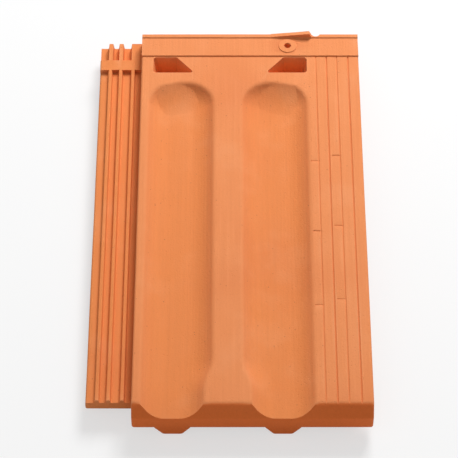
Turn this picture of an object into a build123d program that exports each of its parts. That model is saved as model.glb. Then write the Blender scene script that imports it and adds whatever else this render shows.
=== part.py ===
"""Pressed clay roof tile with two pans and a side lock, fired in one piece.

X runs across the tile from the side lock to the cover rib, Y runs up the roof from the
nose to the head, and Z is up. The origin is below the middle of the tile, in the plane
of its feet. Lengths are in millimetres and angles in degrees.
"""
import os
from math import cos, radians, tan

from build123d import *

# Sizes along the tile
tile_length = 410.0
bevel_run = 9.0
nose_bar_length = 14.0
lock_setback = 19.0
pan_head_gap = 62.0
ramp_run = 36.0
ramp_lead = 12.0
ramp_turn = 14.0
head_band_width = 26.0
head_rim_width = 5.0

# Sizes across the tile
lock_width = 39.0
margin_width = 12.3
pan_width = 50.0
centre_rib_width = 35.4
cover_rib_width = 53.3
cheek_width = 11.0

# Heights, from the plane of the feet
lip_bottom = 10.0
rib_top = 35.0
pan_depth = 10.0
clay_wall = 11.0
head_band_rise = 1.2
head_rim_rise = 1.0
head_fin_rise = 4.5

# Pan walls
wall_slope = 46.0
pan_corner = 20.0
pan_floor_round = 26.0
pan_edge_round = 6.0
ramp_sink = 0.3
flare_width = 7.0
flare_length = 36.0
flare_from_nose = 20.0

# Side lock
lock_top_drop = 12.0
lock_base = 9.0
gutter_depth = 4.0
lock_ledge = 7.5
lock_rib_top = 4.5
lock_gutters = (5.0, 7.0)
lock_draft = 0.6
notch_length = 20.0
notch_depth = 7.0
dam_length = 12.0

# Cover rib
downstand_width = 3.4
downstand_clearance = 1.0
side_play = 4.0
score_places = (13.6, 23.3, 32.8, 43.3)
score_depths = (0.6, 0.9, 0.6, 0.9)
score_width = 1.6
tick_places = (10.5, 29.5)
tick_lead = 6.0
tick_pitch = 77.5
tick_from_nose = 107.0
tick_count = 3
tick_length = 8.0

# Head pockets, batten nibs and foot lugs
pocket_gap = 26.5
pocket_length = 19.0
pocket_width = 39.0
pocket_slant = 17.0
pocket_depth = 20.0
pocket_draft = 12.0
pocket_corner = 3.0
pocket_tip = 1.5
pocket_offsets = (7.0, 11.0)
nib_length = 22.0
nib_wall = 6.5
nib_slope = 14.0
nib_face_height = 12.0
nib_face_relief = 1.5
lug_width = 16.0
lug_length = 9.0
lug_slope = 35.0
lug_offset = 3.5
lug_round = 4.0
lug_setback = 0.5

# Nail hole and head notch
nail_radius = 3.0
nail_gap = 14.0
nail_place = 12.7
boss_radius = 8.5
boss_rise = 0.8
fin_start = 28.0
fin_end = 10.0
head_notch_radius = 4.0
head_notch_place = 14.0

# Rounding of the outer edges
edge_round = 2.0
small_round = 1.0
gutter_round = 0.8
over = 2.0

body_width = margin_width + 2 * pan_width + centre_rib_width + cover_rib_width
overall_width = lock_width + body_width
x_lock = -overall_width / 2
x_body = x_lock + lock_width
x_right = overall_width / 2
y_nose = -tile_length / 2
y_head = tile_length / 2
y_pan_end = y_head - pan_head_gap
pan_floor = rib_top - pan_depth
underside = rib_top - clay_wall
belly_bottom = pan_floor - clay_wall
lock_top = rib_top - lock_top_drop
gutter_floor = lock_top - gutter_depth
lock_bottom = gutter_floor - lock_base
x_pan_1 = x_body + margin_width + pan_width / 2
x_pan_2 = x_pan_1 + pan_width + centre_rib_width
x_cover = x_pan_2 + pan_width / 2
cover_pitch = body_width + side_play


def face_from(points, plane=Plane.XY):
    """Return a face from corners given as (a, b, rounding radius)."""
    corners = [(a, b) for a, b, _ in points]
    radii = [radius for _, _, radius in points]
    return plane * make_face(FilletPolyline(*corners, radius=radii, close=True))


def across(points, x_start, x_end):
    """Return the outline in Y and Z, drawn out from x_start to x_end."""
    return extrude(face_from(points, Plane.YZ.offset(x_start)), amount=x_end - x_start)


def along(points, y_start, y_end):
    """Return the outline in X and Z, drawn out from y_start to y_end."""
    return extrude(face_from(points, Plane.XZ.offset(-y_start)), amount=y_start - y_end)


def side_form():
    """Return the tile's side view, with its bevelled nose, drawn across the body."""
    side_view = [
        (y_nose, lip_bottom, edge_round),
        (y_nose, pan_floor, edge_round),
        (y_nose + bevel_run, rib_top, 0),
        (y_head, rib_top, edge_round),
        (y_head, lip_bottom, 0),
    ]
    return across(side_view, x_body, x_right)


def underside_hollow():
    """Return the space below the tile's deck, behind the nose bar and beside the cheek."""
    bar_back = y_nose + nose_bar_length
    side_view = [
        (bar_back, lip_bottom - over, 0),
        (bar_back + edge_round, underside, edge_round),
        (y_head + over, underside, 0),
        (y_head + over, lip_bottom - over, 0),
    ]
    return across(side_view, x_body + cheek_width, x_right + over)


def pan_outline(x_mid, inner_side, grow):
    """Return a pan's plan, grown outwards by the given amount.

    The side towards the centre rib bends inwards near the nose, where the rib flares.
    """
    x_inner = x_mid + inner_side * (pan_width / 2 + grow)
    x_outer = x_mid - inner_side * (pan_width / 2 + grow)
    y_end = y_pan_end + grow
    y_start = y_nose - pan_width
    y_flare = y_nose + flare_from_nose
    x_flare = x_inner - inner_side * flare_width
    y_back = y_flare + flare_length
    corner = pan_corner + grow
    middle = ((x_inner + x_flare) / 2, (y_flare + y_back) / 2)
    bend_1 = TangentArc((x_inner, y_back), middle, tangent=(0, -1))
    bend_2 = TangentArc(middle, (x_flare, y_flare), tangent=bend_1 % 1)
    turn = 90 if inner_side > 0 else -90
    arc_in = CenterArc(
        (x_inner - inner_side * corner, y_end - corner), corner, 0 if turn > 0 else 180, turn
    )
    arc_out = CenterArc(
        (x_outer + inner_side * corner, y_end - corner), corner, 90, turn
    )
    edges = [
        bend_2,
        bend_1,
        Line((x_inner, y_back), (x_inner, y_end - corner)),
        arc_in,
        Line((x_inner - inner_side * corner, y_end), (x_outer + inner_side * corner, y_end)),
        arc_out,
        Line((x_outer, y_end - corner), (x_outer, y_start)),
        Line((x_outer, y_start), (x_flare, y_start)),
        Line((x_flare, y_start), (x_flare, y_flare)),
    ]
    return make_face(Wire(edges))


def tub(x_mid, inner_side, grow, top, bottom, rounding):
    """Return a pan-shaped solid with sloping walls and a rounded floor edge."""
    outline = pan_outline(x_mid, inner_side, grow)
    body = extrude(Plane.XY.offset(top) * outline, amount=bottom - top, taper=wall_slope)
    floor = body.faces().sort_by(Axis.Z)[0]
    y_open = min(edge.center().Y for edge in floor.edges())
    rims = [edge for edge in floor.edges() if edge.center().Y > y_open]
    return fillet(rims, rounding)


def ramp_space(x_mid, inner_side):
    """Return the space over the curved ramp that ends a pan.

    The ramp turns away from the head on the pan's outer side, where it is gentler.
    """
    radius = (ramp_run**2 + pan_depth**2) / (2 * pan_depth)
    x_pivot = x_mid + inner_side * pan_width / 2
    y_pivot = y_pan_end + ramp_lead
    y_foot = y_pivot - ramp_run
    z_foot = pan_floor - ramp_sink
    rise = CenterArc((y_foot, z_foot + radius), radius, -90, 90)
    z_top = (rise @ 1).Y
    y_far = y_nose - tile_length
    edges = [
        rise,
        Line(rise @ 1, (y_far, z_top)),
        Line((y_far, z_top), (y_far, z_foot)),
        Line((y_far, z_foot), rise @ 0),
    ]
    side_view = Plane.YZ.offset(x_pivot - tile_length) * make_face(Wire(edges))
    space = extrude(side_view, amount=2 * tile_length)
    pivot = Axis((x_pivot, y_pivot, 0), (0, 0, 1))
    return space.rotate(pivot, inner_side * ramp_turn)


def pan_cutter(x_mid, inner_side):
    """Return the hollow of one pan, from above the rib tops to the pan's floor."""
    top = rib_top + over
    grow = (pan_depth / 2 + over) * tan(radians(wall_slope))
    hollow = tub(x_mid, inner_side, grow, top, pan_floor, pan_floor_round)
    return hollow & ramp_space(x_mid, inner_side)


def belly(x_mid, inner_side):
    """Return the clay below one pan, whose sides follow the pan at the wall's thickness."""
    slope = radians(wall_slope)
    grow_mid = clay_wall / cos(slope) - clay_wall * tan(slope)
    top = underside + over
    grow = grow_mid + (pan_depth / 2 + over) * tan(slope)
    return tub(x_mid, inner_side, grow, top, belly_bottom, edge_round)


def lock_section():
    """Return the corners of the lock's section, from its outer ledge to the body."""
    points = [(x_lock, lock_bottom, edge_round), (x_lock, gutter_floor, edge_round)]
    x = x_lock + lock_ledge
    for gutter in (*lock_gutters, None):
        points.append((x, gutter_floor, gutter_round))
        points.append((x + lock_draft, lock_top, small_round))
        x += lock_rib_top
        points.append((x - lock_draft, lock_top, small_round))
        points.append((x, gutter_floor, gutter_round))
        if gutter:
            x += gutter
    points.append((x_body + over, gutter_floor, 0))
    points.append((x_body + over, lock_bottom, 0))
    return points


def gutter_spans():
    """Return the left and right side of the ledge and of each gutter between ribs."""
    spans = [(x_lock - over, x_lock + lock_ledge)]
    x = x_lock + lock_ledge + lock_rib_top
    for gutter in lock_gutters:
        spans.append((x, x + gutter))
        x += gutter + lock_rib_top
    return spans


def side_lock():
    """Return the lock that the next tile's cover rib lies over."""
    y_start = y_nose + lock_setback
    y_dam = y_head - notch_length - dam_length
    ribs = along(lock_section(), y_start, y_dam)
    head_block = [
        (x_lock, lock_bottom, edge_round),
        (x_lock, lock_top, edge_round),
        (x_body + over, lock_top, 0),
        (x_body + over, lock_bottom, 0),
    ]
    body = ribs + along(head_block, y_dam, y_head)
    for left, right in gutter_spans():
        floor = lock_top - notch_depth
        notch = [
            (left - lock_draft, lock_top + over, 0),
            (left + lock_draft, floor, small_round),
            (right - lock_draft, floor, small_round),
            (right + lock_draft, lock_top + over, 0),
        ]
        body -= along(notch, y_head - notch_length, y_head + over)
    return body


def head_band():
    """Return the raised band and rim along the head, the nail boss and the corner fin."""
    band_top = rib_top + head_band_rise
    rim_top = band_top + head_rim_rise
    y_band = y_head - head_band_width
    y_rim = y_head - head_rim_width
    outline = [
        (y_band, underside, 0),
        (y_band, band_top, small_round),
        (y_rim, band_top, small_round),
        (y_rim + head_rim_rise, rim_top, 0),
        (y_head, rim_top, small_round),
        (y_head, underside, 0),
    ]
    band = across(outline, x_body, x_right)
    fin_view = [
        (x_cover - fin_start, underside, 0),
        (x_cover - fin_start, rim_top, 0),
        (x_cover + fin_end - edge_round, rim_top + head_fin_rise, small_round),
        (x_cover + fin_end, rim_top, 0),
        (x_cover + fin_end, underside, 0),
    ]
    fin = along(fin_view, y_rim + head_rim_rise, y_head)
    boss = Pos(nail_x(), y_head - nail_gap, underside) * Cylinder(
        boss_radius,
        band_top + boss_rise - underside,
        align=(Align.CENTER, Align.CENTER, Align.MIN),
    )
    return band + fin + fillet(boss.edges().sort_by(Axis.Z)[-1], boss_rise)


def nail_x():
    """Return where the nail hole is across the tile."""
    return x_pan_2 + nail_place


def pocket(x_mid, inner_side):
    """Return one of the two pockets that hollow the nibs from above."""
    y_back = y_head - pocket_gap
    y_front = y_back - pocket_length
    x_outer = x_mid - inner_side * pocket_width / 2
    x_inner = x_mid + inner_side * pocket_width / 2
    corners = [
        (x_outer, y_front, pocket_corner),
        (x_inner, y_front, pocket_tip),
        (x_inner - inner_side * pocket_slant, y_back, pocket_corner),
        (x_outer, y_back, pocket_corner),
    ]
    outline = face_from(corners, Plane.XY.offset(rib_top + over))
    return extrude(outline, amount=-(pocket_depth + over), taper=pocket_draft)


def nib(x_mid):
    """Return one batten nib, upright towards the nose and sloping on its other sides."""
    y_front = y_head - pocket_gap - pocket_length - nib_wall
    half_top = pocket_width / 2 + nib_wall
    lean = underside * tan(radians(nib_slope))
    front_view = [
        (x_mid - half_top + lean, 0, edge_round),
        (x_mid + half_top - lean, 0, edge_round),
        (x_mid + half_top, underside + over, 0),
        (x_mid - half_top, underside + over, 0),
    ]
    y_top = y_front + nib_face_relief
    side_view = [
        (y_front, 0, edge_round),
        (y_front + nib_length, 0, edge_round),
        (y_front + nib_length + lean, underside + over, 0),
        (y_top, underside + over, 0),
        (y_top, nib_face_height + nib_face_relief, 0),
        (y_front, nib_face_height, 0),
    ]
    y_far = y_front + nib_length + lean
    return along(front_view, y_front, y_far) & across(side_view, x_mid - half_top, x_mid + half_top)


def foot_lug(x_mid):
    """Return one lug under the nose, which drops into the pan of the tile below."""
    lean = lip_bottom * tan(radians(lug_slope))
    view = [
        (x_mid - lug_width / 2, 0, lug_round),
        (x_mid + lug_width / 2, 0, lug_round),
        (x_mid + lug_width / 2 + lean, lip_bottom, 0),
        (x_mid + lug_width / 2 + lean, lip_bottom + edge_round, 0),
        (x_mid - lug_width / 2 - lean, lip_bottom + edge_round, 0),
        (x_mid - lug_width / 2 - lean, lip_bottom, 0),
    ]
    return along(view, y_nose + lug_setback, y_nose + lug_length)


def downstand():
    """Return the rib below the cover rib that runs in the next tile's second gutter."""
    left, right = gutter_spans()[2]
    x_mid = (left + right) / 2 + cover_pitch
    low = gutter_floor + downstand_clearance
    view = [
        (x_mid - downstand_width / 2, low, small_round),
        (x_mid + downstand_width / 2, low, small_round),
        (x_mid + downstand_width / 2 + lock_draft, underside + over, 0),
        (x_mid - downstand_width / 2 - lock_draft, underside + over, 0),
    ]
    return along(view, y_nose + nose_bar_length, y_head)


def groove(depth):
    """Return the section of a fine groove in the rib tops, round the origin."""
    return [
        (-score_width / 2, rib_top, 0),
        (0, rib_top - depth, 0),
        (score_width / 2, rib_top, 0),
        (0, rib_top + depth, 0),
    ]


def score_lines():
    """Return the cutters of the fine lines along the cover rib."""
    lines = Part()
    for place, depth in zip(score_places, score_depths):
        line = along(groove(depth), y_nose - over, y_head - head_band_width)
        lines += Pos(x_cover + place, 0, 0) * line
    return lines


def ticks():
    """Return the cutters of the short cross ticks beside the first and third line."""
    marks = Part()
    for column, place in enumerate(tick_places):
        x_start = x_cover + place - tick_length / 2
        tick = across(groove(min(score_depths)), x_start, x_start + tick_length)
        for row in range(tick_count):
            y = y_nose + tick_from_nose + row * tick_pitch + column * tick_lead
            marks += Pos(0, y, 0) * tick
    return marks


def deck(pans):
    """Return the body of the tile with its pans, rounded along its rims and ends."""
    inside = Pos(0, edge_round, 0) * Box(overall_width, tile_length, 2 * rib_top)
    body = side_form() - underside_hollow()
    for x_mid, inner_side in pans:
        body += belly(x_mid, inner_side) & inside
    for x_mid, inner_side in pans:
        body -= pan_cutter(x_mid, inner_side)
    rims = [
        edge
        for edge in body.edges().group_by(Axis.Z)[-1]
        if x_body < edge.center().X < x_right and edge.center().Y < y_head - edge_round
    ]
    body = fillet(rims, pan_edge_round)
    for x_end in (x_body, x_right):
        end = body.faces().filter_by(Plane.YZ).sort_by(lambda face: abs(face.center().X - x_end))[0]
        body = fillet(end.edges(), edge_round)
    return body


def roof_tile():
    """Return the whole tile as one solid."""
    pans = [(x_pan_1, 1), (x_pan_2, -1)]
    tile = deck(pans) + side_lock() + head_band() + downstand()
    nibs = [
        (x_mid - inner_side * offset, inner_side)
        for (x_mid, inner_side), offset in zip(pans, pocket_offsets)
    ]
    for x_mid, inner_side in pans:
        tile += foot_lug(x_mid - inner_side * lug_offset)
    for x_mid, _ in nibs:
        tile += nib(x_mid)
    for x_mid, inner_side in nibs:
        tile -= pocket(x_mid, inner_side)
    tile -= score_lines() + ticks()
    tile -= Pos(nail_x(), y_head - nail_gap, rib_top) * Cylinder(nail_radius, 4 * rib_top)
    notch_x = x_cover + head_notch_place
    tile -= Pos(notch_x, y_head + over / 2, rib_top) * Cylinder(head_notch_radius, 4 * rib_top)
    return tile


os.makedirs("parts", exist_ok=True)
export_step(roof_tile(), "parts/roof_tile.step")
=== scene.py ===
"""A pressed clay roof tile with two pans and a side lock, dressed as bare fired clay.

The tile lies on a plain pale floor in soft studio light. Lengths are in metres, in the
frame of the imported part: +X from the side lock to the cover rib, +Y up the roof from the
nose to the head, +Z up from the plane of the feet.
"""

import logging
import math
from dataclasses import dataclass
from enum import Enum

import bmesh
import bpy
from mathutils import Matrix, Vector, noise


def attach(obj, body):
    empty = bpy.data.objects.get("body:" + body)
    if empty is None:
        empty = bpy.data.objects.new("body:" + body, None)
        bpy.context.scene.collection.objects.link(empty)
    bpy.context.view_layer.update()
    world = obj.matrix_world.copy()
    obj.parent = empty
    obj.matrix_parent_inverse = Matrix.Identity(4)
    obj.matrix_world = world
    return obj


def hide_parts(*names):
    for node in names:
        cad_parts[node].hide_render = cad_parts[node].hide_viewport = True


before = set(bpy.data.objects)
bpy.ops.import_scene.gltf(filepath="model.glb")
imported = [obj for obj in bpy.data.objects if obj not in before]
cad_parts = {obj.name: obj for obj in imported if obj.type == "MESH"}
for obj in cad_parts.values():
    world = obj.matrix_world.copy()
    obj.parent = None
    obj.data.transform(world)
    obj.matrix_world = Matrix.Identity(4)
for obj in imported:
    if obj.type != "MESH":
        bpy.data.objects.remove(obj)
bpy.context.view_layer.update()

log = logging.getLogger("roof_tile")

Triple = tuple[float, float, float]
Span = tuple[float, float]

WHITE: Triple = (1.0, 1.0, 1.0)
UNSTRETCHED: Triple = (1.0, 1.0, 1.0)
UNMOVED: Triple = (0.0, 0.0, 0.0)

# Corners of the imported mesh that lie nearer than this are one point.
MERGE_DISTANCE = 1e-6

# Points that the slices leave nearer than this are one point.
SLIVER_DISTANCE = 10 * MERGE_DISTANCE

# The mean of a smooth noise.
NOISE_MEAN = 0.5

# Where the Mix node keeps the sockets of its two colours and of their mixture.
MIX_FIRST, MIX_SECOND, MIX_RESULT = 6, 7, 2


class Layer(Enum):
    """The point attributes of the tile's mesh that its finish reads."""

    WEAR = "wear"
    # How far a point lies in an inner corner, where the finish paints shade.
    CORNER_SHADE = "corner_shade"


class SliceAxis(Enum):
    """The directions in which the tile's mesh is sliced, in order."""

    ALONG = (0.0, 1.0, 0.0)
    ACROSS = (1.0, 0.0, 0.0)


class Axis(Enum):
    """The parts of a vector that the finish reads."""

    ALONG = "Y"
    UP = "Z"


class Operation(Enum):
    """The operations of the Math nodes."""

    ADD = "ADD"
    SUBTRACT = "SUBTRACT"
    MULTIPLY = "MULTIPLY"


class Wire:
    """An output of a node, which Python's operators turn into Math nodes."""

    def __init__(self, graph: "Graph", node: bpy.types.Node, output: str | int = 0) -> None:
        """Keep an output.

        Args:
            graph: The graph that the node is in.
            node: The node.
            output: The name or the place of its output.
        """
        self.graph = graph
        self.node = node
        self.output = output

    def __getitem__(self, output: str | int) -> "Wire":
        """Return another output of the same node."""
        return Wire(self.graph, self.node, output)

    @property
    def socket(self) -> bpy.types.NodeSocket:
        """Return the output's socket."""
        return self.node.outputs[self.output]

    def maths(
        self, operation: Operation, first: "Wire | float", second: "Wire | float"
    ) -> "Wire":
        """Add a Math node.

        Args:
            operation: What the node does.
            first: Its first value.
            second: Its second value.

        Returns:
            The node's output.
        """
        settings = {"operation": operation.value}
        return self.graph.add("ShaderNodeMath", settings, {0: first, 1: second})

    def __add__(self, other: "Wire | float") -> "Wire":
        """Return self + other."""
        return self.maths(Operation.ADD, self, other)

    def __radd__(self, other: float) -> "Wire":
        """Return other + self."""
        return self.maths(Operation.ADD, other, self)

    def __sub__(self, other: "Wire | float") -> "Wire":
        """Return self - other."""
        return self.maths(Operation.SUBTRACT, self, other)

    def __rsub__(self, other: float) -> "Wire":
        """Return other - self."""
        return self.maths(Operation.SUBTRACT, other, self)

    def __mul__(self, other: "Wire | float") -> "Wire":
        """Return self * other."""
        return self.maths(Operation.MULTIPLY, self, other)

    def __rmul__(self, other: float) -> "Wire":
        """Return other * self."""
        return self.maths(Operation.MULTIPLY, other, self)

    def step(self, span: Span) -> "Wire":
        """Turn the value into a smooth step.

        Args:
            span: The values at which the step starts and ends.

        Returns:
            0 below the span and 1 above it.
        """
        low, high = span
        settings = {"interpolation_type": "SMOOTHSTEP", "clamp": True}
        inputs = {"Value": self, "From Min": low, "From Max": high}
        return self.graph.add("ShaderNodeMapRange", settings, inputs)


class Graph:
    """The node graph of a material or a world."""

    def __init__(self, owner: bpy.types.Material | bpy.types.World) -> None:
        """Start an empty graph.

        Args:
            owner: The material or the world that the graph is for.
        """
        owner.use_nodes = True
        self.tree = owner.node_tree
        self.tree.nodes.clear()

    def add(
        self,
        kind: str,
        settings: dict[str, object] | None = None,
        inputs: dict[str | int, object] | None = None,
    ) -> Wire:
        """Add any node.

        Args:
            kind: The node's type.
            settings: Properties of the node, set first.
            inputs: A value or a wire for each named or numbered input.

        Returns:
            The first output of the new node, from which the others can be picked.
        """
        node = self.tree.nodes.new(kind)
        for key, value in (settings or {}).items():
            setattr(node, key, value)
        for key, value in (inputs or {}).items():
            if isinstance(value, Wire):
                self.tree.links.new(value.socket, node.inputs[key])
            else:
                node.inputs[key].default_value = value
        return Wire(self, node)

    def place(self, scale: Triple = UNSTRETCHED, shift: Triple = UNMOVED) -> Wire:
        """Return the Object coordinates, stretched and then moved along each axis.

        Args:
            scale: The stretch along X, Y and Z.
            shift: The move along X, Y and Z.

        Returns:
            The coordinates as a vector.
        """
        where = self.add("ShaderNodeTexCoord")["Object"]
        inputs = {"Vector": where, "Scale": scale, "Location": shift}
        return self.add("ShaderNodeMapping", {"vector_type": "POINT"}, inputs)

    def part_of(self, vector: Wire, axis: Axis) -> Wire:
        """Return one part of a vector."""
        return self.add("ShaderNodeSeparateXYZ", None, {0: vector})[axis.value]

    def mix(self, share: Wire, first: Wire | Triple, second: Wire | Triple) -> Wire:
        """Return a colour between two colours.

        Args:
            share: 0 for the first colour and 1 for the second.
            first: A colour.
            second: A colour.

        Returns:
            The mixed colour.
        """
        settings = {"data_type": "RGBA", "blend_type": "MIX", "clamp_factor": True}
        inputs = {0: share, MIX_FIRST: opaque(first), MIX_SECOND: opaque(second)}
        return self.add("ShaderNodeMix", settings, inputs)[MIX_RESULT]

    def scale(self, colour: Wire, strength: Wire) -> Wire:
        """Return the colour made lighter or darker, with the same hue."""
        inputs = {0: colour, "Scale": strength}
        return self.add("ShaderNodeVectorMath", {"operation": "SCALE"}, inputs)

    def attribute(self, layer: Layer) -> Wire:
        """Return a point attribute of the mesh as a value."""
        settings = {"attribute_type": "GEOMETRY", "attribute_name": layer.value}
        return self.add("ShaderNodeAttribute", settings)["Fac"]


def opaque(colour: Wire | Triple) -> Wire | tuple[float, float, float, float]:
    """Return a plain colour with full opacity, or a wire as it is."""
    return colour if isinstance(colour, Wire) else (*colour, 1.0)


def show(piece: bpy.types.Object) -> bpy.types.Object:
    """Put an object in the scene and return it."""
    bpy.context.scene.collection.objects.link(piece)
    return piece


@dataclass(frozen=True)
class Grain:
    """A smooth noise.

    Attributes:
        size: The size of a grain.
        detail: How many finer octaves it has.
        rough: How strong they are.
    """

    size: float
    detail: float
    rough: float = 0.5

    def over(self, graph: Graph, where: Wire) -> Wire:
        """Build the noise.

        Args:
            graph: The graph to build in.
            where: The coordinates to read.

        Returns:
            A value from 0 to 1.
        """
        inputs = {
            "Vector": where,
            "Scale": 1.0 / self.size,
            "Detail": self.detail,
            "Roughness": self.rough,
        }
        return graph.add("ShaderNodeTexNoise", {"noise_dimensions": "3D"}, inputs)


@dataclass(frozen=True)
class Spots:
    """Small round spots in some of the cells of an uneven grid.

    Attributes:
        spacing: The mean distance between the cells.
        edge: The distances from a cell's middle, as shares of the spacing, over which a
            spot fades.
        lot: The random values over which a cell turns from bare to spotted.
    """

    spacing: float
    edge: Span
    lot: Span

    def over(self, graph: Graph, where: Wire) -> Wire:
        """Build the mask of the spots.

        Args:
            graph: The graph to build in.
            where: The coordinates to read.

        Returns:
            1 inside a spot and 0 outside it.
        """
        inputs = {"Vector": where, "Scale": 1.0 / self.spacing}
        cells = graph.add("ShaderNodeTexVoronoi", {"feature": "F1"}, inputs)
        lot = graph.add("ShaderNodeSeparateColor", None, {0: cells["Color"]})
        return (1.0 - cells["Distance"].step(self.edge)) * lot.step(self.lot)


@dataclass(frozen=True)
class Tint:
    """A colour that lies over the clay where a mask is high.

    Attributes:
        colour: The colour.
        share: How much of it shows where the mask is full.
        span: The values over which the mask is turned into a smooth step first, if any.
    """

    colour: Triple
    share: float
    span: Span | None = None

    def over(self, graph: Graph, tone: Wire, mask: Wire, within: Wire | None = None) -> Wire:
        """Lay the tint over a colour.

        Args:
            graph: The graph to build in.
            tone: The colour below.
            mask: Where the tint lies.
            within: A second mask, which keeps the tint to a part of the tile.

        Returns:
            The tinted colour.
        """
        share = (mask.step(self.span) if self.span else mask) * self.share
        if within is not None:
            share = share * within
        return graph.mix(share, tone, self.colour)


@dataclass(frozen=True)
class FiredClay:
    """Bare terracotta: matt, fine grained, faintly streaked along the tile.

    Attributes:
        name: The name of the finish.
        rib: The colour of the ribs and other high faces.
        pan: The deeper colour of the pans.
        pan_height: The heights over which the pan's colour turns into the rib's.
        flash: The patches where the fire has caught the clay more.
        bloom: The pale clouds.
        streak: The pale streaks on the high faces.
        worn: The pale worn edges.
        worn_least: How much of them shows where there is no cloud.
        worn_cloud: How much the clouds add to that.
        corner_shade: Painted shade: a darker red laid into the inner corners, where shade
            falls.
        nose: Painted shade on the bevelled nose: its faces turned away from the head, where
            the key lamp hangs, are deepened to a saturated shaded red.
        nose_end: The places along the tile over which the nose ends.
        nose_tilt: The Y of the normals over which a face stops counting as the nose.
        iron: The small dark specks.
        light_least: What all colours are multiplied by at the least.
        light_streaks: How much the streaks add to that.
        light_speckle: How much the speckle adds to it.
        patches: The noise of the fire's patches.
        patch_shift: How far that noise is moved.
        clouds: The noise of the clouds.
        blotches: The noise of the patches that are more or less rough.
        streaks: The noise of the streaks, as it is across the tile.
        streak_stretch: How many times longer than wide a streak is.
        speckle: The fine noise of the colour.
        specks: The pattern of the iron specks.
        speck_shift: How far that pattern is moved.
        grain: The noise of the finest relief.
        sand: The noise of the coarser relief.
        pits: The pattern of the small pits.
        grain_height: The share of the relief that the grain takes.
        sand_height: The share that the sand takes.
        streak_height: The share that the streaks take.
        pit_depth: The share that the pits take away.
        relief_depth: The height of the whole relief.
        relief_strength: How strongly the relief bends the light.
        roughness: The roughness of the clay.
        roughness_play: How far it changes from blotch to blotch.
        specular: The strength of its reflection.
    """

    name: str = "fired_clay_finish"
    rib: Triple = (0.80, 0.262, 0.088)
    pan: Triple = (0.78, 0.240, 0.066)
    pan_height: Span = (0.0255, 0.0350)
    flash: Tint = Tint((0.66, 0.165, 0.048), 0.38, (0.48, 0.78))
    bloom: Tint = Tint((0.86, 0.345, 0.150), 0.30, (0.50, 0.80))
    streak: Tint = Tint((0.86, 0.345, 0.150), 0.22, (0.55, 0.80))
    worn: Tint = Tint((0.86, 0.345, 0.150), 1.0)
    worn_least: float = 0.25
    worn_cloud: float = 0.50
    # Painted shade: the inner corners darkened where shade falls.
    corner_shade: Tint = Tint((0.56, 0.120, 0.030), 0.35)
    # Painted shade: the nose's faces turned from the lamp, deepened to a saturated red.
    nose: Tint = Tint((0.86, 0.165, 0.024), 0.80)
    nose_end: Span = (-0.190, -0.188)
    nose_tilt: Span = (-0.60, -0.20)
    iron: Tint = Tint((0.26, 0.070, 0.030), 0.75)
    light_least: float = 0.84
    light_streaks: float = 0.12
    light_speckle: float = 0.20
    patches: Grain = Grain(0.135, 2.0)
    patch_shift: Triple = (0.3, 0.7, 0.1)
    clouds: Grain = Grain(0.045, 4.0, 0.55)
    blotches: Grain = Grain(0.018, 3.0)
    streaks: Grain = Grain(0.0022, 3.0, 0.60)
    streak_stretch: float = 40.0
    speckle: Grain = Grain(0.00055, 2.0, 0.70)
    specks: Spots = Spots(0.0045, (0.04, 0.13), (0.80, 0.86))
    speck_shift: Triple = (0.11, 0.0, 0.05)
    grain: Grain = Grain(0.00055, 3.0, 0.65)
    sand: Grain = Grain(0.00176, 2.0)
    pits: Spots = Spots(0.0032, (0.05, 0.22), (0.62, 0.70))
    grain_height: float = 0.5
    sand_height: float = 0.7
    streak_height: float = 0.9
    pit_depth: float = 0.9
    relief_depth: float = 0.0003
    relief_strength: float = 0.8
    roughness: float = 0.80
    roughness_play: float = 0.14
    specular: float = 0.30

    def material(self) -> bpy.types.Material:
        """Build the finish.

        Returns:
            The material.
        """
        finish = bpy.data.materials.new(self.name)
        clay = Graph(finish)
        blotches = self.blotches.over(clay, clay.place())
        inputs = {
            "Base Color": self.colour(clay),
            "Roughness": self.roughness + self.roughness_play * (blotches - NOISE_MEAN),
            "Specular IOR Level": self.specular,
            "Normal": self.relief(clay),
        }
        surface = clay.add("ShaderNodeBsdfPrincipled", None, inputs)
        clay.add("ShaderNodeOutputMaterial", None, {"Surface": surface})
        return finish

    def streaky(self, clay: Graph) -> Wire:
        """Return the noise of the streaks, drawn out along the tile."""
        along = clay.place((1.0, 1.0 / self.streak_stretch, 1.0))
        return self.streaks.over(clay, along)

    def colour(self, clay: Graph) -> Wire:
        """Build the clay's colour, with painted shade in the inner corners and on the nose.

        Args:
            clay: The graph to build in.

        Returns:
            The base colour over the surface.
        """
        where = clay.place()
        raised = clay.part_of(where, Axis.UP).step(self.pan_height)
        clouds = self.clouds.over(clay, where)
        patches = self.patches.over(clay, clay.place(shift=self.patch_shift))
        streaks = self.streaky(clay)
        speckle = self.speckle.over(clay, where)
        specks = self.specks.over(clay, clay.place(shift=self.speck_shift))
        worn = self.worn_least + self.worn_cloud * clouds
        tone = clay.mix(raised, self.pan, self.rib)
        tone = self.flash.over(clay, tone, patches)
        tone = self.bloom.over(clay, tone, clouds)
        tone = self.streak.over(clay, tone, streaks, raised)
        tone = self.worn.over(clay, tone, clay.attribute(Layer.WEAR), worn)
        # Painted shade in the inner corners.
        tone = self.corner_shade.over(clay, tone, clay.attribute(Layer.CORNER_SHADE))
        # Painted shade on the nose's faces turned away from the lamp.
        tone = self.nose.over(clay, tone, self.nose_shade_mask(clay))
        tone = self.iron.over(clay, tone, specks)
        light = self.light_least + self.light_streaks * streaks + self.light_speckle * speckle
        return clay.scale(tone, light)

    def nose_shade_mask(self, clay: Graph) -> Wire:
        """Build the mask of the painted shade on the faces at the nose that point away from
        the head and its lamp.

        Args:
            clay: The graph to build in.

        Returns:
            1 on the bevel and the nose's front, and 0 elsewhere.
        """
        facing = clay.part_of(clay.add("ShaderNodeTexCoord")["Normal"], Axis.ALONG)
        place = clay.part_of(clay.place(), Axis.ALONG)
        return (1.0 - facing.step(self.nose_tilt)) * (1.0 - place.step(self.nose_end))

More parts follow.
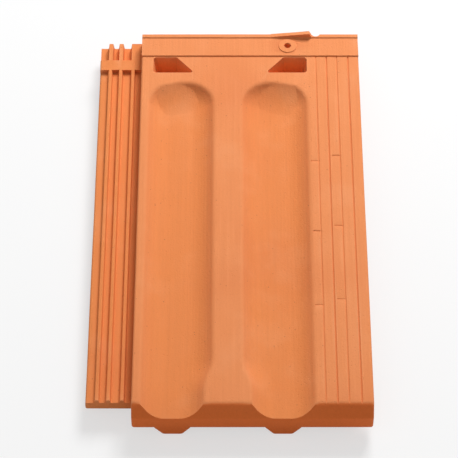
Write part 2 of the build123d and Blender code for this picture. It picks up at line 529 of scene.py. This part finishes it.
    def relief(self, clay: Graph) -> Wire:
        """Build the fine relief.

        Args:
            clay: The graph to build in.

        Returns:
            The normal of the sandy, pitted and faintly streaked surface.
        """
        where = clay.place()
        height = (
            self.grain_height * self.grain.over(clay, where)
            + self.sand_height * self.sand.over(clay, where)
            + self.streak_height * self.streaky(clay)
            - self.pit_depth * self.pits.over(clay, where)
        )
        inputs = {
            "Strength": self.relief_strength,
            "Distance": self.relief_depth,
            "Height": height,
        }
        return clay.add("ShaderNodeBump", None, inputs)


@dataclass
class PressedTile:
    """The tile: one pressed and fired piece, with the slight unevenness of clay.

    Attributes:
        node: The name of the part's solid.
        piece: The name of the dressed piece.
        slot: The name of a material slot; not used.
        finish: The finish.
        slice_pitch: The distance between the planes that slice the mesh.
        slice_shift: The share of a pitch by which they miss the mesh's own corners.
        crease_angle: Faces that meet at a larger angle keep a crisp edge.
        wear_and_shade_radius: An edge of this radius counts as fully worn, and a corner as
            fully in painted shade.
        flat_share: The share of that bend that still counts as flat.
        sag: How far the faces wander from true.
        sag_size: The length over which they wander.
        chip_depth: How deep the worn edges dip.
        chip_size: The length of a dip along an edge.
        level_height: The height up to which the feet stay level.
    """

    node: str = "roof_tile"
    piece: str = "pressed_tile"
    slot: str = "fired_clay"
    finish: FiredClay = FiredClay()
    slice_pitch: float = 0.012
    slice_shift: float = 0.37
    crease_angle: float = math.radians(38.0)
    wear_and_shade_radius: float = 0.0024
    flat_share: float = 0.12
    sag: float = 0.00022
    sag_size: float = 0.060
    chip_depth: float = 0.00045
    chip_size: float = 0.009
    level_height: float = 0.0012

    def build(self) -> bpy.types.Object:
        """Make the piece from a merged copy of the part's mesh.

        Returns:
            The dressed tile, which rides on the part's body.
        """
        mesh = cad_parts[self.node].data.copy()
        mesh.name = self.piece
        shape = bmesh.new()
        shape.from_mesh(mesh)
        self.refine(shape)
        self.mark_layers(shape)
        self.weather(shape)
        self.crease(shape)
        shape.to_mesh(mesh)
        shape.free()
        if "custom_normal" in mesh.attributes:
            mesh.attributes.remove(mesh.attributes["custom_normal"])
        tile = show(bpy.data.objects.new(self.piece, mesh))
        self.dress(tile)
        return tile

    def refine(self, shape: bmesh.types.BMesh) -> None:
        """Merge the mesh and slice it, so that its long faces can bend.

        Args:
            shape: The mesh, which comes as loose triangles.
        """
        bmesh.ops.remove_doubles(shape, verts=shape.verts, dist=MERGE_DISTANCE)
        for direction in SliceAxis:
            self.slice_up(shape, Vector(direction.value))
        bmesh.ops.remove_doubles(shape, verts=shape.verts, dist=SLIVER_DISTANCE)
        bmesh.ops.triangulate(shape, faces=[f for f in shape.faces if len(f.verts) > 3])

    def slice_up(self, shape: bmesh.types.BMesh, axis: Vector) -> None:
        """Cut the mesh along evenly spaced planes.

        Args:
            shape: The mesh.
            axis: The direction from one plane to the next.
        """
        places = [vert.co.dot(axis) for vert in shape.verts]
        low, high = min(places), max(places)
        count = int((high - low) / self.slice_pitch)
        for step in range(1, count):
            place = low + (high - low) * (step + self.slice_shift) / count
            whole = shape.verts[:] + shape.edges[:] + shape.faces[:]
            bmesh.ops.bisect_plane(
                shape, geom=whole, dist=MERGE_DISTANCE, plane_co=place * axis, plane_no=axis
            )

    def mark_layers(self, shape: bmesh.types.BMesh) -> None:
        """Store how far each point is on an outer edge, for the wear, or in an inner corner,
        for the painted shade.

        Args:
            shape: The mesh, which gets the two layers.
        """
        for layer in Layer:
            shape.verts.layers.float.new(layer.value)
        wear = shape.verts.layers.float[Layer.WEAR.value]
        corner_shade = shape.verts.layers.float[Layer.CORNER_SHADE.value]
        shape.normal_update()
        shape.verts.ensure_lookup_table()
        bends = [self.bend(vert) for vert in shape.verts]
        for vert in shape.verts:
            near = [bends[edge.other_vert(vert).index] for edge in vert.link_edges]
            bend = 0.5 * bends[vert.index] + 0.5 * sum(near) / len(near)
            vert[wear] = self.share_of(-bend)
            vert[corner_shade] = self.share_of(bend)

    def bend(self, vert: bmesh.types.BMVert) -> float:
        """Measure the mean curvature at a point.

        Args:
            vert: The point.

        Returns:
            The curvature, which is below zero on outer edges.
        """
        total = 0.0
        for edge in vert.link_edges:
            step = edge.other_vert(vert).co - vert.co
            total += step.dot(vert.normal) / max(step.length_squared, self.sag ** 2)
        return 2.0 * total / len(vert.link_edges)

    def share_of(self, bend: float) -> float:
        """Return how fully a bend counts, from 0 to 1."""
        return min(max(bend * self.wear_and_shade_radius - self.flat_share, 0.0), 1.0)

    def weather(self, shape: bmesh.types.BMesh) -> None:
        """Let the faces wander a little inwards and dip the worn edges.

        Args:
            shape: The mesh, above whose feet the points move.
        """
        wear = shape.verts.layers.float[Layer.WEAR.value]
        for vert in shape.verts:
            if vert.co.z > self.level_height:
                slow = noise.noise(vert.co / self.sag_size)
                dip = max(noise.noise(vert.co / self.chip_size), 0.0) * vert[wear]
                depth = self.sag * (0.5 + 0.5 * slow) + self.chip_depth * dip
                vert.co -= vert.normal * depth

    def crease(self, shape: bmesh.types.BMesh) -> None:
        """Shade the faces smoothly, apart from the crisp edges.

        Args:
            shape: The mesh.
        """
        for face in shape.faces:
            face.smooth = True
        for edge in shape.edges:
            edge.smooth = edge.calc_face_angle(0.0) < self.crease_angle

    def dress(self, tile: bpy.types.Object) -> None:
        """Give the tile its shading, its finish and its place in the frame.

        Args:
            tile: The piece.
        """
        shading = tile.modifiers.new("even_shading", "WEIGHTED_NORMAL")
        shading.keep_sharp = True
        shading.mode = "FACE_AREA_WITH_ANGLE"
        tile.data.materials.clear()
        tile.data.materials.append(self.finish.material())
        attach(tile, "root")
        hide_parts(self.node)


@dataclass(frozen=True)
class SoftLamp:
    """A square lamp that points at the tile.

    Attributes:
        name: Its name.
        place: Where it hangs.
        size: Its side.
        power: Its power in watts.
    """

    name: str
    place: Triple
    size: float
    power: float

    def hang(self) -> None:
        """Hang the lamp."""
        light = bpy.data.lights.new(self.name, "AREA")
        light.shape = "SQUARE"
        light.size = self.size
        light.energy = self.power
        lamp = show(bpy.data.objects.new(self.name, light))
        lamp.location = self.place
        lamp.rotation_euler = (-Vector(self.place)).to_track_quat("-Z", "Y").to_euler()


@dataclass
class Studio:
    """A plain pale floor, an even surround and two soft lamps.

    Attributes:
        floor_size: The side of the square floor.
        floor_colour: Its colour.
        floor_roughness: Its roughness.
        floor_glow: How far the camera sees it as plain white.
        sky: The strength of the surround's white light.
        seen_sky: The pale grey that the camera sees in place of it.
        lamps: The main lamp beyond the head, and a weak one on the nose's side.
    """

    floor_size: float = 8.0
    floor_colour: Triple = (0.86, 0.86, 0.86)
    floor_roughness: float = 0.9
    floor_glow: float = 0.60
    sky: float = 0.33
    seen_sky: Triple = (0.80, 0.80, 0.80)
    lamps: tuple[SoftLamp, ...] = (
        SoftLamp("key", (0.50, 1.50, 1.50), 0.9, 49.0),
        SoftLamp("fill", (-1.0, -1.2, 1.8), 1.8, 3.0),
    )

    def build(self) -> bpy.types.Object:
        """Lay the floor, light the surround and hang the lamps.

        Returns:
            The floor.
        """
        shape = bmesh.new()
        bmesh.ops.create_grid(shape, x_segments=1, y_segments=1, size=self.floor_size / 2)
        mesh = bpy.data.meshes.new("floor")
        shape.to_mesh(mesh)
        shape.free()
        mesh.materials.append(self.floor_paint())
        floor = show(bpy.data.objects.new("floor", mesh))
        self.light_surround()
        for lamp in self.lamps:
            lamp.hang()
        return floor

    def floor_paint(self) -> bpy.types.Material:
        """Build the floor's matt paint, which the camera sees partly as plain white.

        Returns:
            The material.
        """
        finish = bpy.data.materials.new("floor_paint")
        paint = Graph(finish)
        inputs = {"Base Color": opaque(self.floor_colour), "Roughness": self.floor_roughness}
        matt = paint.add("ShaderNodeBsdfPrincipled", None, inputs)
        glow = paint.add("ShaderNodeEmission", None, {"Color": opaque(WHITE)})
        seen = paint.add("ShaderNodeLightPath")["Is Camera Ray"] * self.floor_glow
        surface = paint.add("ShaderNodeMixShader", None, {0: seen, 1: matt, 2: glow})
        paint.add("ShaderNodeOutputMaterial", None, {"Surface": surface})
        return finish

    def light_surround(self) -> None:
        """Light the tile by an even white surround, which the camera sees as pale grey."""
        world = bpy.data.worlds.new("surround")
        sky = Graph(world)
        light = {"Color": opaque(WHITE), "Strength": self.sky}
        glow = sky.add("ShaderNodeBackground", None, light)
        grey = sky.add("ShaderNodeBackground", None, {"Color": opaque(self.seen_sky)})
        seen = sky.add("ShaderNodeLightPath")["Is Camera Ray"]
        surface = sky.add("ShaderNodeMixShader", None, {0: seen, 1: glow, 2: grey})
        sky.add("ShaderNodeOutputWorld", None, {"Surface": surface})
        bpy.context.scene.world = world


@dataclass
class Viewpoint:
    """The camera, which looks down on the tile from the nose's side.

    Attributes:
        elevation: The angle of the view above the floor.
        distance: How far the camera is from its target.
        view_width: The width of the frame at the target.
        target: The point in the middle of the frame.
        sensor: The width of the camera's sensor, in millimetres.
    """

    elevation: float = math.radians(54.0)
    distance: float = 1.9
    view_width: float = 0.405
    target: Triple = (0.0, -0.004, 0.015)
    sensor: float = 36.0

    def build(self) -> bpy.types.Object:
        """Place the camera.

        Returns:
            The camera.
        """
        lens = bpy.data.cameras.new("camera")
        lens.sensor_width = self.sensor
        lens.lens = self.sensor * self.distance / self.view_width
        camera = show(bpy.data.objects.new("camera", lens))
        away = Vector((0.0, -math.cos(self.elevation), math.sin(self.elevation)))
        camera.location = Vector(self.target) + self.distance * away
        camera.rotation_euler = (-away).to_track_quat("-Z", "Y").to_euler()
        bpy.context.scene.camera = camera
        return camera


def main() -> None:
    """Build the camera, the tile and the studio, and log the name of each."""
    logging.basicConfig(level=logging.INFO, format="%(name)s: %(message)s")
    for part in (Viewpoint(), PressedTile(), Studio()):
        made = part.build()
        log.info("built %s", made.name)
    bpy.context.scene.view_settings.view_transform = "Standard"


if __name__ == "__main__":
    main()
